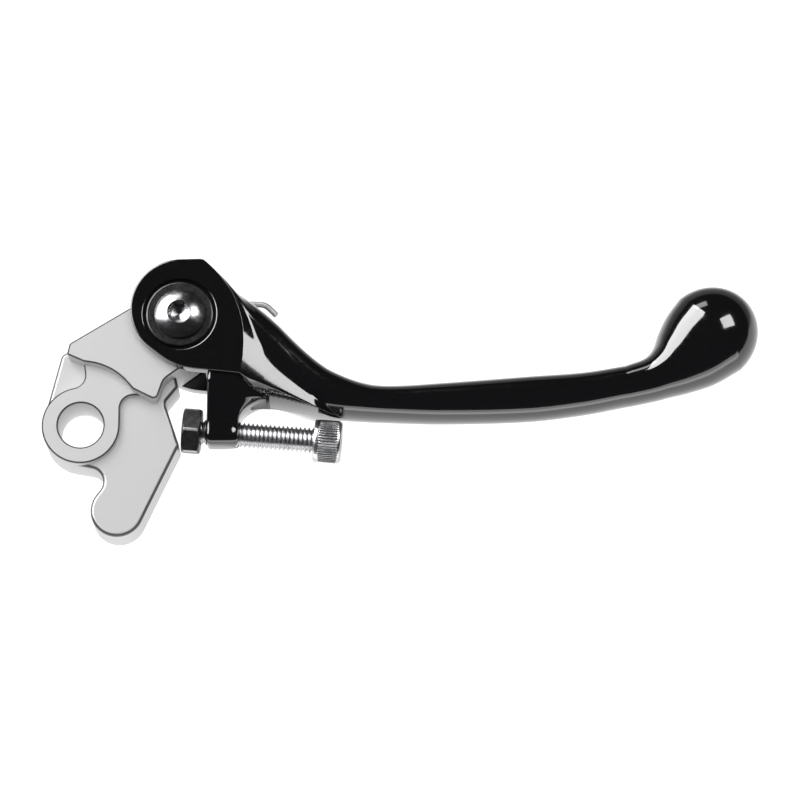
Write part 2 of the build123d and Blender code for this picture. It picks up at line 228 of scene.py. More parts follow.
class Finish:
    """A Principled material with helpers for the noise that varies it."""

    def __init__(self, name, colour, metallic, roughness):
        self.material = bpy.data.materials.new(name)
        self.material.use_nodes = True
        self.tree = self.material.node_tree
        self.shader = self.tree.nodes["Principled BSDF"]
        self.shader.inputs["Base Color"].default_value = (*colour, 1)
        self.shader.inputs["Metallic"].default_value = metallic
        self.shader.inputs["Roughness"].default_value = roughness
        self.bump_from = None

    def add(self, kind):
        return self.tree.nodes.new(kind)

    def link(self, a, b):
        self.tree.links.new(a, b)

    def noise(self, scale, detail=4.0, distortion=0.0):
        """Noise in object space; scale is per metre."""
        place = self.add("ShaderNodeTexCoord")
        noise = self.add("ShaderNodeTexNoise")
        noise.inputs["Scale"].default_value = scale
        noise.inputs["Detail"].default_value = detail
        noise.inputs["Distortion"].default_value = distortion
        self.link(place.outputs["Object"], noise.inputs["Vector"])
        return noise.outputs["Fac"]

    def spread(self, value, low, high, start=0.3, stop=0.7):
        """A value between start and stop, carried over to between low and high."""
        ramp = self.add("ShaderNodeMapRange")
        ramp.inputs["From Min"].default_value = start
        ramp.inputs["From Max"].default_value = stop
        ramp.inputs["To Min"].default_value = low
        ramp.inputs["To Max"].default_value = high
        self.link(value, ramp.inputs["Value"])
        return ramp.outputs["Result"]

    def vary_roughness(self, value, low, high, start=0.3, stop=0.7):
        self.link(self.spread(value, low, high, start, stop), self.shader.inputs["Roughness"])

    def vary_colour(self, value, dark, light, start=0.3, stop=0.7):
        mix = self.add("ShaderNodeMix")
        mix.data_type = "RGBA"
        mix.inputs["A"].default_value = (*dark, 1)
        mix.inputs["B"].default_value = (*light, 1)
        self.link(self.spread(value, 0, 1, start, stop), mix.inputs["Factor"])
        self.link(mix.outputs["Result"], self.shader.inputs["Base Color"])

    def bump(self, value, height, strength=1.0):
        """Adds relief; height is the real height of the relief in metres."""
        bump = self.add("ShaderNodeBump")
        bump.inputs["Distance"].default_value = height
        bump.inputs["Strength"].default_value = strength
        self.link(value, bump.inputs["Height"])
        if self.bump_from:
            self.link(self.bump_from, bump.inputs["Normal"])
        self.bump_from = bump.outputs["Normal"]
        self.link(self.bump_from, self.shader.inputs["Normal"])


black = Finish("gloss_black", (0.006, 0.006, 0.007), 0.0, 0.05)
black.shader.inputs["Specular IOR Level"].default_value = 0.62
black.shader.inputs["Coat Weight"].default_value = 0.35
black.shader.inputs["Coat Roughness"].default_value = 0.03
black.vary_roughness(black.noise(900, 5), 0.07, 0.13)
black.bump(black.noise(260, 2.0, distortion=0.3), 2.2e-5, 0.6)
black.bump(black.noise(2600, 3.0), 1.5e-6, 0.7)

# The broken edges, which face neither along Z nor straight out, are smoother and more metallic, and
# painted darker as painted shade for the dark surroundings they reflect
alloy = Finish("machined_alloy", (0.66, 0.66, 0.665), 0.12, 0.42)
shape = alloy.add("ShaderNodeNewGeometry")
parts = alloy.add("ShaderNodeSeparateXYZ")
alloy.link(shape.outputs["Normal"], parts.inputs["Vector"])
upright = alloy.add("ShaderNodeMath")
upright.operation = "ABSOLUTE"
alloy.link(parts.outputs["Z"], upright.inputs[0])
off_wall = alloy.spread(upright.outputs["Value"], 0, 1, 0.10, 0.30)
off_face = alloy.spread(upright.outputs["Value"], 1, 0, 0.90, 0.985)
edge_shade_and_polish = alloy.add("ShaderNodeMath")
edge_shade_and_polish.operation = "MULTIPLY"
alloy.link(off_wall, edge_shade_and_polish.inputs[0])
alloy.link(off_face, edge_shade_and_polish.inputs[1])
# Painted shade: the colour falls from light grey to near black on the broken edges
alloy.vary_colour(edge_shade_and_polish.outputs["Value"], (0.64, 0.64, 0.645), (0.13, 0.13, 0.13), 0, 1)
alloy.link(alloy.spread(edge_shade_and_polish.outputs["Value"], 0.12, 0.3, 0, 1),
           alloy.shader.inputs["Metallic"])
alloy.link(alloy.spread(edge_shade_and_polish.outputs["Value"], 0.42, 0.24, 0, 1),
           alloy.shader.inputs["Roughness"])
alloy.bump(alloy.noise(5000, 4), 4e-6, 0.5)
alloy.bump(alloy.noise(700, 3), 4e-6, 0.4)

steel = Finish("bright_steel", (0.56, 0.56, 0.57), 1.0, 0.16)
steel.vary_colour(steel.noise(300, 4), (0.46, 0.46, 0.47), (0.62, 0.62, 0.63))
steel.vary_roughness(steel.noise(1100, 5), 0.26, 0.36)
steel.bump(steel.noise(4200, 3), 2e-6, 0.5)

satin = Finish("turned_steel", (0.29, 0.29, 0.30), 1.0, 0.24)
satin.vary_colour(satin.noise(300, 3), (0.26, 0.26, 0.27), (0.32, 0.32, 0.33))
satin.vary_roughness(satin.noise(600, 3), 0.20, 0.28)
satin.bump(satin.noise(1500, 3), 6e-7, 0.5)

wire = Finish("spring_wire", (0.72, 0.72, 0.73), 0.7, 0.34)
wire.vary_colour(wire.noise(600, 4), (0.60, 0.60, 0.61), (0.78, 0.78, 0.79))
wire.bump(wire.noise(3500, 3), 3e-6, 0.5)

oxide = Finish("black_oxide", (0.055, 0.055, 0.057), 0.8, 0.36)
oxide.vary_colour(oxide.noise(900, 6), (0.045, 0.045, 0.046), (0.065, 0.065, 0.067))
oxide.vary_roughness(oxide.noise(900, 5), 0.3, 0.4)
oxide.bump(oxide.noise(3500, 4), 1e-6, 0.5)

# Painted highlight: a lighter grey for the lock nut's hexagon corners, standing in for the bright
# lines of light along them
corner_glint = Finish("painted_highlight_grey", (0.45, 0.45, 0.46), 0.7, 0.35)
corner_glint.vary_colour(corner_glint.noise(1800, 5), (0.30, 0.30, 0.31), (0.55, 0.55, 0.56))
corner_glint.bump(corner_glint.noise(3500, 4), 1e-6, 0.5)

washer_steel = Finish("dark_brushed", (0.055, 0.055, 0.057), 1.0, 0.32)
washer_steel.vary_colour(washer_steel.noise(420, 6), (0.04, 0.04, 0.041), (0.07, 0.07, 0.071))
washer_steel.vary_roughness(washer_steel.noise(1500, 5), 0.26, 0.34)
washer_steel.bump(washer_steel.noise(2800, 5), 1.5e-6, 0.5)

bronze = Finish("bronze", (0.52, 0.36, 0.16), 1.0, 0.34)
bronze.vary_colour(bronze.noise(400, 5), (0.40, 0.26, 0.11), (0.60, 0.43, 0.20))
bronze.bump(bronze.noise(3000, 4), 4e-6, 0.5)

nylon = Finish("nylon", (0.72, 0.72, 0.66), 0.0, 0.45)
nylon.vary_colour(nylon.noise(500, 4), (0.66, 0.66, 0.60), (0.77, 0.77, 0.72))
nylon.bump(nylon.noise(2500, 4), 6e-6, 0.5)


def finish_piece(obj, finish, slot, body, *nodes):
    """Gives a piece its material, the body it rides and the CAD nodes it replaces; slot is not used.
    """
    obj.data.materials.clear()
    obj.data.materials.append(finish.material)
    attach(obj, body)
    if nodes:
        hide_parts(*nodes)
    return obj


# ---- forged arm -------------------------------------------------------------------------------

# Plan of the hub's flat face, the crease that ends it and the two sides of the arm beyond
HUB = belt((23.2, 26.0, 11.7), (28.0, 27.0, 15.45), (36.6, 11.4, 0.8), (38.9, 23.7, 4.8),
           (27.1, 34.8, 3.0), step=0.5)
CREASE_LOW = (36.6, 10.6)
CREASE_BULGE = 4.4
UPPER_EDGE = [
    (31.0, 35.4), (34.9, 32.2), (40.6, 28.1), (44.9, 24.5), (48.1, 21.3),
    (51.3, 18.2), (54.6, 15.45), (57.9, 13.35), (64.3, 11.0), (70.8, 10.2), (83.8, 10.95),
    (103.4, 12.5), (116.4, 13.5), (126.2, 15.1),
]
LOWER_EDGE = [
    (36.6, 10.6), (38.9, 9.7), (44.9, 7.3), (51.3, 4.75), (54.8, 3.5), (57.9, 2.75), (64.3, 2.2),
    (70.8, 1.89), (83.8, 1.55), (103.4, 2.1), (116.4, 3.7), (126.2, 5.6),
]
# How far the lower wall stands out below its crest, along X
SKIRT = [(36.6, 0.0), (38.4, 4.6), (41.0, 3.9), (44.9, 2.5), (51.3, 0.95), (56.0, 0.0)]
# Half height of the blade and the squareness of its section, along X
BODY = [
    (28.0, 10.9, 4.0), (34.0, 10.9, 3.6), (38.9, 10.7, 3.2), (44.9, 10.1, 2.8), (51.3, 9.2, 2.4),
    (57.9, 8.3, 2.15), (64.3, 7.7, 2.0), (70.8, 7.4, 2.0), (83.8, 7.4, 2.0), (103.4, 7.4, 2.0),
    (116.4, 7.2, 2.0), (126.2, 7.1, 2.0),
]
# Ball end: run along the arm, centre X, centre Y, heading, half width, half height
NECK = [
    (0.0, 126.2, 10.35, 3.0, 4.75, 7.1), (5.2, 131.2, 11.8, 9.0, 5.1, 7.3),
    (8.9, 134.45, 13.5, 21.0, 5.95, 7.9), (12.7, 137.45, 15.85, 30.0, 7.75, 8.9),
    (17.7, 141.3, 18.95, 36.0, 9.7, 10.2), (23.2, 145.7, 22.7, 41.0, 10.9, 11.0),
]
BALL_REACH = 11.7
# Squareness of the hub's section, so its rim is nearly sharp, and where its far side ends
HUB_SQUARE = 70.0
HUB_UPPER_END = radians(67.6)
HUB_SPINE_FROM = 0.45
HUB_STEPS, SHOULDER_STEPS, BLADE_STEPS, NECK_STEPS, BALL_STEPS, HALF_STEPS = 96, 110, 110, 56, 32, 36
# Places across half a section, closer together towards its edge
ACROSS = [1 - (j / HALF_STEPS) ** 2 for j in range(HALF_STEPS + 1)]
SHOULDER_END, BLADE_END = 58.0, 126.0
# The scoop behind the hub: its fall for each millimetre from the crease, its lean towards +Y
# and the stretch of X over which it dies away into the blade
SCOOP_FALL, SCOOP_LEAN, LEAN_TOP, LEAN_OVER, SCOOP_DROP = 0.27, 0.08, 20.0, 6.0, 9.0
FADE_FROM, FADE_OVER, BLADE_FROM = 53.0, 14.0, 68.0
# The upper side of the shoulder: the share of a section where it takes over, how far it starts
# below the hub, its fall and its squareness
SIDE_FROM, SIDE_OVER, SIDE_STEP, SIDE_FALL, SIDE_SQUARE = -0.25, 0.7, 0.4, 0.14, 3.0
# Rounding where the scoop meets the blade's body, below and on the upper side
BLEND, SIDE_BLEND = 0.6, 0.25
CREASE_WIDTH = 1.2


def ray_hit(outline, at, angle):
    """Where a ray from a point leaves an outline."""
    dx, dy = cos(angle), sin(angle)
    best = None
    for (x0, y0), (x1, y1) in zip(outline, outline[1:] + outline[:1]):
        ex, ey = x1 - x0, y1 - y0
        det = ex * dy - ey * dx
        if abs(det) < 1e-12:
            continue
        s = ((at[0] - x0) * dy - (at[1] - y0) * dx) / det
        r = (ex * (y0 - at[1]) - ey * (x0 - at[0])) / det
        if -1e-9 <= s <= 1 + 1e-9 and r > 0 and (best is None or r > best):
            best = r
    return (at[0] + best * dx, at[1] + best * dy)


def on_section(lower, upper, spine, bulge, t):
    """Plan point on a section from its spine (t = 0) out to an edge (t = 1 upper, -1 lower)."""
    end = upper if t >= 0 else lower
    x = spine[0] + abs(t) * (end[0] - spine[0])
    y = spine[1] + abs(t) * (end[1] - spine[1])
    cx, cy = upper[0] - lower[0], upper[1] - lower[1]
    length = hypot(cx, cy) or 1.0
    push = bulge * (1 - t * t) / length
    return x + cy * push, y - cx * push


def squared(t, n):
    """Height of a superellipse of unit height at t."""
    return max(0.0, 1 - abs(t) ** n) ** (1 / n)


def eased(share):
    """A share from 0 to 1 with a gentle start and stop."""
    return share * share * (3 - 2 * share)


def soft_max(a, b, blend):
    """The larger of two heights, rounded over where they meet."""
    return (a + b + hypot(a - b, blend)) / 2


def middle(a, b):
    return ((a[0] + b[0]) / 2, (a[1] + b[1]) / 2)


def arm_sections():
    """Rows of points round the arm, from the left of the hub to the tip of the ball."""
    hub_at = (HINGE.x, HINGE.y)
    lower_end = 2 * pi + atan2(CREASE_LOW[1] - hub_at[1], CREASE_LOW[0] - hub_at[0])
    crease_upper = ray_hit(HUB, hub_at, HUB_UPPER_END)
    crease_spine = middle(CREASE_LOW, crease_upper)
    rows = []

    def add(lower, upper, spine, bulge, height, skirt=None):
        """One row round the arm; the skirt pushes the lower wall out below its crest."""
        top, bottom = [], []
        for t in ACROSS[:-1] + [-v for v in reversed(ACROSS)]:
            x, y = on_section(lower, upper, spine, bulge, t)
            z = height(x, y, t)
            drop = 0.0
            if skirt and t < 0:
                share = min(1.0, z / height(x, y, 0.96 * t))
                drop = skirt(x) * (1 - share ** 1.6) * min(1.0, (-t * 1.25) ** 6)
            top.append((x, y - drop, MID + z))
            bottom.append((x, y - drop, MID - z))
        rows.append(top + bottom[-2:0:-1])

    for i in range(HUB_STEPS + 1):
        q = i / HUB_STEPS
        lower = ray_hit(HUB, hub_at, pi + (lower_end - pi) * q)
        upper = ray_hit(HUB, hub_at, pi + (HUB_UPPER_END - pi) * q)
        if i == HUB_STEPS:
            lower = CREASE_LOW
        ease = eased(max(0.0, (q - HUB_SPINE_FROM) / (1 - HUB_SPINE_FROM)))
        spine = (hub_at[0] + (crease_spine[0] - hub_at[0]) * ease,
                 hub_at[1] + (crease_spine[1] - hub_at[1]) * ease)
        add(lower, upper, spine, CREASE_BULGE * ease, lambda x, y, t: HALF * squared(t, HUB_SQUARE))

    def shoulder_height(x, y, t):
        """The falling scoop beyond the crease, or the body of the blade where that is higher."""
        h, n = lookup(BODY, x)
        if x > BLADE_FROM:
            return h * squared(t, n)
        cx, cy = on_section(CREASE_LOW, crease_upper, crease_spine, CREASE_BULGE, t)
        beyond = hypot(x - cx, y - cy)
        upper_side = min(1.0, max(0.0, t - SIDE_FROM) / SIDE_OVER)
        h += max(0.0, HALF - SIDE_STEP - SIDE_FALL * beyond - h) * upper_side
        fade = min(1.0, max(0.0, (x - FADE_FROM) / FADE_OVER))
        lean = SCOOP_LEAN * (min(y, LEAN_TOP) - CREASE_LOW[1])
        scoop = HALF - SCOOP_FALL * beyond - lean * min(1.0, beyond / LEAN_OVER)
        scoop -= SCOOP_DROP * eased(fade)
        blend = (BLEND - (BLEND - SIDE_BLEND) * upper_side) * (1 - fade)
        if t >= 0:
            n = SIDE_SQUARE + (n - SIDE_SQUARE) * fade
            n += (HUB_SQUARE - n) * exp(-beyond / CREASE_WIDTH)
            return soft_max(scoop, h, blend) * squared(t, n)
        body = h * squared(t, n)
        if scoop <= 0:
            return body
        return max(body, soft_max(scoop, body, blend) * squared(t, HUB_SQUARE))

    upper_keys = [crease_upper] + UPPER_EDGE
    for i in range(1, SHOULDER_STEPS + 1):
        q = (i / SHOULDER_STEPS) ** 1.25
        xl = CREASE_LOW[0] + (SHOULDER_END - CREASE_LOW[0]) * q
        xu = crease_upper[0] + (SHOULDER_END - crease_upper[0]) * q
        lower = (xl, lookup(LOWER_EDGE, xl)[0])
        upper = (xu, lookup(upper_keys, xu)[0])
        add(lower, upper, middle(lower, upper), CREASE_BULGE * (1 - q) ** 2, shoulder_height,
            lambda x: lookup(SKIRT, x)[0])

    for i in range(1, BLADE_STEPS + 1):
        x = SHOULDER_END + (BLADE_END - SHOULDER_END) * i / BLADE_STEPS
        lower, upper = (x, lookup(LOWER_EDGE, x)[0]), (x, lookup(upper_keys, x)[0])
        add(lower, upper, middle(lower, upper), 0.0, shoulder_height)

    def round_section(x, y, heading, half_width, half_height):
        ax, ay = -sin(radians(heading)), cos(radians(heading))
        lower = (x - ax * half_width, y - ay * half_width)
        upper = (x + ax * half_width, y + ay * half_width)
        add(lower, upper, (x, y), 0.0, lambda x, y, t: half_height * squared(t, 2.0))

    for i in range(1, NECK_STEPS + 1):
        round_section(*lookup(NECK, NECK[-1][0] * i / NECK_STEPS))
    _, x, y, heading, width, height = NECK[-1]
    for i in range(1, BALL_STEPS + 1):
        turn = pi / 2 * i / BALL_STEPS
        along, share = BALL_REACH * sin(turn), cos(turn)
        round_section(x + along * cos(radians(heading)), y + along * sin(radians(heading)), heading,
                      max(width * share, 1e-5), max(height * share, 1e-5))
    return rows


# The adjuster's lug: how far it reaches below and above the screw, its half height, its two
# sides and the rounding of its bottom edges
LUG_DROP, LUG_RISE, LUG_HALF, LUG_HALF_MOST = 3.6, 12.6, 5.0, 10.7
LUG_LEFT, LUG_RIGHT, LUG_DRAFT_FROM, LUG_EDGE = 28.8, 36.3, -4.0, 1.3
# The fillet from the lug's right side into the arm's lower wall
FLARE_FROM, FLARE_OVER, FLARE_REACH, FLARE_SLOPE = 1.2, 5.0, 7.6, 0.62
CORNER_LEFT, CORNER_RIGHT, CORNER_DEEP = 0.9, 3.8, 1.5


def lug_sections():
    """Rows up the post that carries the adjuster, from its round bottom to inside the arm."""
    bottom = SCREW_AT.y - LUG_DROP
    rows = []
    heights = [bottom + LUG_DROP * (1 - cos(pi / 2 * i / 24)) for i in range(25)]
    heights += [SCREW_AT.y + LUG_RISE * i / 40 for i in range(1, 41)]
    for y in heights:
        rise = y - SCREW_AT.y
        if rise > 0:
            half = min(LUG_HALF + 0.10 * rise + 0.048 * rise * rise, LUG_HALF_MOST)
        else:
            half = max(0.02, LUG_HALF * squared(rise / LUG_DROP, 3.2))
        short = max(0.0, LUG_EDGE - (y - bottom))
        inset = LUG_EDGE - sqrt(max(0.0, LUG_EDGE ** 2 - short ** 2))
        climb = min(1.0, max(0.0, y - FLARE_FROM) / FLARE_OVER)
        flare = FLARE_REACH * (1 - sqrt(1 - climb ** 2))
        left = LUG_LEFT + 0.035 * (y - LUG_DRAFT_FROM) + inset
        right = LUG_RIGHT + 0.02 * (y - LUG_DRAFT_FROM) - inset + flare
        most = half * 0.9
        narrow, broad = min(CORNER_LEFT, most), CORNER_RIGHT + flare
        deep = min(CORNER_DEEP + FLARE_SLOPE * flare, most)
        row = []
        for side, cz, start in ((1, 1, 0), (-1, 1, 90), (-1, -1, 180), (1, -1, 270)):
            rx, rz = (broad, deep) if side > 0 else (narrow, narrow)
            cx = right - rx if side > 0 else left + rx
            for k in range(9):
                a = radians(start + 11.25 * k)
                row.append((cx + rx * cos(a), y, MID + cz * (half - rz) + rz * sin(a)))
        rows.append(row)
    return rows


def bore_profile(radius, lip, low, high, out):
    """Rows of a plain bore cutter whose mouth at high has a rounded lip; out is +1 or -1."""
    rows = [(low, radius), (high - out * lip, radius)]
    steps = 5
    for k in range(1, steps + 1):
        a = pi / 2 * k / steps
        rows.append((high - out * lip * (1 - sin(a)), radius + lip * (1 - cos(a))))
    rows.append((high + out, radius + lip))
    return rows


# Room round the tongue and the spring's leg, and the arm's bores
TONGUE_ROOM = 10.3
TOP_BORE_R, TOP_LIP, LOW_BORE_R, LOW_LIP = 8.35, 0.45, 7.0, 0.4
BOLT_HOLE_R, SCREW_HOLE_R = 3.05, 3.0
GROOVE_LOW, GROOVE_HIGH, LEG_ROOM = -2.8, 0.9, 0.4
WIRE_R, COIL_R = 0.7, 6.6


def make_arm():
    """The forging: arm and lug joined, then the fork's slot, the leg's groove and the bores."""
    arm = new_object("arm", skin(arm_sections()))
    lug = new_object("lug", skin(lug_sections()))
    boolean(arm, [lug], "UNION")
    # The gap between the ears: round the tongue, and open towards the knuckle
    fork = prism(belt((HINGE.x, HINGE.y, TONGUE_ROOM), (30.0, 52.0, 0), (-5.0, 52.0, 0),
                      (-5.0, -4.0, 0), (28.9, -4.0, 0), (28.9, 13.0, 0), step=3), SLOT_LOW, SLOT_HIGH)
    floor = HINGE.y + COIL_R - WIRE_R - LEG_ROOM
    # The way of the spring's leg to the back of the arm
    groove = prism([(29, floor), (48, floor), (48, 45), (29, 45)], GROOVE_LOW, GROOVE_HIGH)
    top_profile = bore_profile(TOP_BORE_R, TOP_LIP, SEAT, ARM_HIGH, 1)
    top_bore = turned(top_profile, HINGE_AT, UP, RIGHT, 128)
    low_profile = bore_profile(LOW_BORE_R, LOW_LIP, NUT_SEAT, ARM_LOW, -1)
    low_bore = turned(low_profile, HINGE_AT, UP, RIGHT, 128)
    hole_profile = [(ARM_LOW - 3, BOLT_HOLE_R), (ARM_HIGH + 3, BOLT_HOLE_R)]
    bolt_hole = turned(hole_profile, HINGE_AT, UP, RIGHT, 64)
    screw_hole = turned([(-6, SCREW_HOLE_R), (21, SCREW_HOLE_R)], SCREW_AT, SCREW_ALONG,
                        SCREW_ACROSS, 64)
    cutters = (fork, groove, top_bore, low_bore, bolt_hole, screw_hole)
    boolean(arm, [new_object(f"cut{i}", c) for i, c in enumerate(cutters)], "DIFFERENCE")
    smooth(arm.data, 30)
    return arm


finish_piece(make_arm(), black, "black_gloss", "lever", "lever_arm")

# ---- reach adjuster ---------------------------------------------------------------------------

PITCH, THREAD_R, THREAD_DEPTH, POINT = 1.0, 2.95, 0.60, 0.7
TIP_AT, ROD_LENGTH, HEAD_AT, SOCKET_FLATS, KNURLS = -4.9, 30.2, 29.75, 5.0, 52
# The last of the nut's numbers is the radius beyond which its corners carry the painted highlight
NUT_AT, NUT_HEIGHT, NUT_FLATS, NUT_TURN, GLINT_BEYOND = -5.65, 4.35, 10.0, radians(8.6), 5.59


def threaded_rod(start, stop):
    """Screw thread: rows keep to the helix, so crest and root stay crisp."""
    profile = [(0.0, 0.0), (0.06, 0.0), (0.30, 0.56), (0.42, 0.94), (0.47, 1.0), (0.53, 1.0),
               (0.58, 0.94), (0.70, 0.56), (0.94, 0.0)]
    around = 60
    rows = []
    for turn in range(int(start) - 3, int(stop) + 3):
        for place, share in profile:
            row = []
            for j in range(around + 1):
                angle = 2 * pi * j / around
                u = turn + (place + j / around) * PITCH
                r = THREAD_R - THREAD_DEPTH * (1 - share)
                if u < start + POINT:
                    r = min(r, THREAD_R - (start + POINT - max(u, start)) * 0.9)
                u = min(max(u, start), stop)
                row.append(SCREW_AT + SCREW_ALONG * u + SCREW_ACROSS * (r * cos(angle))
                           + SCREW_THIRD * (r * sin(angle)))
            rows.append(row)
    bm = skin(rows, ring=False, caps=False)
    bmesh.ops.remove_doubles(bm, verts=bm.verts, dist=1e-4)
    bmesh.ops.holes_fill(bm, edges=[e for e in bm.edges if e.is_boundary], sides=0)
    return bm


def hexagon(across_flats, rounding=0.0, turn=0.0):
    """Radius of a hexagon at an angle, with its corners cut to a small flat."""
    corner = across_flats / sqrt(3) - rounding

    def radius(angle):
        a = (angle - turn) % (pi / 3) - pi / 6
        return min(across_flats / 2 / cos(a), corner)
    return radius


def head_rows(under):
    """Cap screw head: plain band, straight knurl, rounded rim, hexagon socket."""
    def knurl(base, depth):
        def radius(angle):
            share = abs(((angle * KNURLS / (2 * pi)) % 1) * 2 - 1)
            return base - depth * min(1.0, share * 1.35)
        return radius
    socket = hexagon(SOCKET_FLATS)
    return [(under, 2.6), (under, 4.55), (under + 0.12, 4.8), (under + 0.3, 4.93),
            (under + 1.05, 4.95), (under + 1.2, knurl(4.98, 0.08)), (under + 1.35, knurl(5.0, 0.20)),
            (under + 5.35, knurl(5.0, 0.20)), (under + 5.55, knurl(4.97, 0.14)), (under + 5.7, 4.9),
            (under + 6.05, 4.75), (under + 6.3, 4.5), (under + 6.45, 4.2), (under + 6.45, 3.2),
            (under + 6.35, socket), (under + 3.0, socket), (under + 2.9, hexagon(4.2)),
            (under + 2.2, 0.02)]


head = turned(head_rows(TIP_AT + HEAD_AT), SCREW_AT, SCREW_ALONG, SCREW_ACROSS, KNURLS * 8)
screw = add_to(head, threaded_rod(TIP_AT, TIP_AT + ROD_LENGTH))
finish_piece(new_object("cap_screw", screw, 38), steel, "bright_steel", "adjuster", "adjuster_screw")


def nut_rows(start, height, flats):
    """Hexagon nut with turned chamfers on both faces and a countersunk thread."""
    inner, stop, steps = flats / 2, start + height, 7
    rises = [0.62 * k / steps for k in range(steps + 1)]
    rows = [(start + 0.5, 2.75), (start, 3.2), (start, inner - 0.35), (start + 0.03, inner - 0.2)]
    rows += [(start + 0.05 + rise, clipped_hexagon(flats, inner - 0.1 + rise * 1.5)) for rise in rises]
    rows += [(stop - 0.05 - rise, clipped_hexagon(flats, inner - 0.1 + rise * 1.5))
             for rise in reversed(rises)]
    rows += [(stop - 0.03, inner - 0.2), (stop, inner - 0.35), (stop, 3.2), (stop - 0.5, 2.75),
             (start + 0.5, 2.75)]
    return rows


def clipped_hexagon(flats, limit):
    """Radius of the nut's hexagon where its turned chamfer has reached a given radius."""
    shape = hexagon(flats, 0.13, NUT_TURN)
    return lambda angle: min(shape(angle), limit)


nut = turned(nut_rows(NUT_AT, NUT_HEIGHT, NUT_FLATS), SCREW_AT, SCREW_ALONG, -SCREW_THIRD, 360)
nut = finish_piece(new_object("lock_nut", nut, 34), oxide, "dark_steel", "lock_nut",
                   "adjuster_lock_nut")
# Faces of the nut's corners, beyond that radius, get the painted highlight
nut.data.materials.append(corner_glint.material)
for face in nut.data.polygons:
    out = face.center / MM - SCREW_AT
    out -= SCREW_ALONG * out.dot(SCREW_ALONG)
    face.material_index = int(out.length > GLINT_BEYOND)

# ---- pivot bolt and washers -------------------------------------------------------------------


DOME_R, DOME_HEIGHT, DOME_RIM, DOME_INNER, DOME_STEPS, DOME_SOCKET = 5.75, 2.9, 0.55, 2.75, 40, 4.0
SHANK_R, SHANK_TIP_R = 2.9, 2.2
WASHER_R, WASHER_HOLE_R = 7.7, 3.1


def dome_rows(seat):
    """Bolt head: turned dome with fine rings, hexagon socket with a drilled bottom."""
    rise = DOME_HEIGHT - DOME_RIM
    crown = (DOME_R ** 2 + rise ** 2) / (2 * rise)
    rows = [(seat - 4, SHANK_R), (seat - 0.02, SHANK_R), (seat, 5.45), (seat + 0.15, 5.68),
            (seat + 0.4, DOME_R)]
    for k in range(DOME_STEPS + 1):
        r = DOME_R - (DOME_R - DOME_INNER) * k / DOME_STEPS
        z = seat + DOME_HEIGHT - crown + sqrt(crown ** 2 - r * r)
        rows.append((z + 0.006 * cos(k * 2.1) * min(1.0, k / 4), r))
    socket = hexagon(DOME_SOCKET)
    top = rows[-1][0]
    rows += [(top - 0.05, 2.6), (top - 0.3, 2.42), (top - 0.4, socket), (top - 2.0, socket),
             (top - 2.1, 1.7), (top - 2.9, 0.02)]
    return rows


def washer_rows():
    """Large washer: rounded rim and fine turning rings on top."""
    rows = [(SEAT, WASHER_HOLE_R), (SEAT, 7.45), (SEAT + 0.1, 7.62), (SEAT + 0.3, WASHER_R),
            (SEAT + 0.72, WASHER_R), (SEAT + 0.88, 7.64), (SEAT + 0.97, 7.5)]
    rows += [(WASHER_TOP + 0.012 * sin(k * 1.9), 7.4 - 4.1 * k / 26) for k in range(27)]
    return rows + [(WASHER_TOP - 0.1, WASHER_HOLE_R), (SEAT, WASHER_HOLE_R)]


shank_rows = [(SHANK_LOW, SHANK_TIP_R), (SHANK_LOW + 0.6, SHANK_R), (WASHER_TOP - 3.5, SHANK_R)]
dome = turned(dome_rows(WASHER_TOP), HINGE_AT, UP, RIGHT, 192)
bolt = add_to(dome, turned(shank_rows, HINGE_AT, UP, RIGHT, 96))
finish_piece(new_object("fold_bolt", bolt, 34), satin, "bright_steel", "lever", "pivot_bolt")
washer = turned(washer_rows(), HINGE_AT, UP, RIGHT, 160)
finish_piece(new_object("large_washer", washer, 34), washer_steel, "dark_steel", "lever",
             "head_washer")

# ---- torsion spring ---------------------------------------------------------------------------

COIL_PITCH, COIL_TURNS = 1.43, 3.15
COIL_RISE = COIL_PITCH * COIL_TURNS
COIL_LOW, COIL_HIGH = MID - COIL_RISE / 2, MID + COIL_RISE / 2
LEG_START, LEG_LENGTH, HOOK_R, HOOK_TURN, HOOK_TIP, ANCHOR_LEG = 89.0, 17.9, 3.0, 43.0, 2.6, 9.0


def spring_path():
    """Centre line of the wire from the hook behind the arm to the end held in the knuckle."""
    slope = COIL_PITCH / (2 * pi * COIL_R)

    def on_coil(angle, level):
        a = radians(angle)
        return Vector((HINGE.x + COIL_R * cos(a), HINGE.y + COIL_R * sin(a), level))

    def along(angle):
        a = radians(angle)
        return Vector((-sin(a), cos(a), slope)).normalized()

    out = -along(LEG_START)
    leg_start = on_coil(LEG_START, COIL_LOW)
    leg_end = leg_start + out * LEG_LENGTH
    side = UP.cross(out).normalized()
    hook = []
    for k in range(13):
        a = radians(HOOK_TURN * k / 12)
        hook.append(leg_end + out * (HOOK_R * sin(a)) - side * (HOOK_R * (1 - cos(a))))
    a = radians(HOOK_TURN)
    tip_along = out * cos(a) - side * sin(a)
    points = [hook[-1] + tip_along * HOOK_TIP * (1 - k / 4) for k in range(4)]
    points += hook[::-1]
    points += [leg_end + (leg_start - leg_end) * k / 12 for k in range(1, 12)]
    steps = int(COIL_TURNS * 48)
    points += [on_coil(LEG_START + 360 * COIL_TURNS * k / steps, COIL_LOW + COIL_RISE * k / steps)
               for k in range(steps + 1)]
    end = LEG_START + 360 * COIL_TURNS
    points += [points[-1] + along(end) * (ANCHOR_LEG * k / 6) for k in range(1, 7)]
    return points


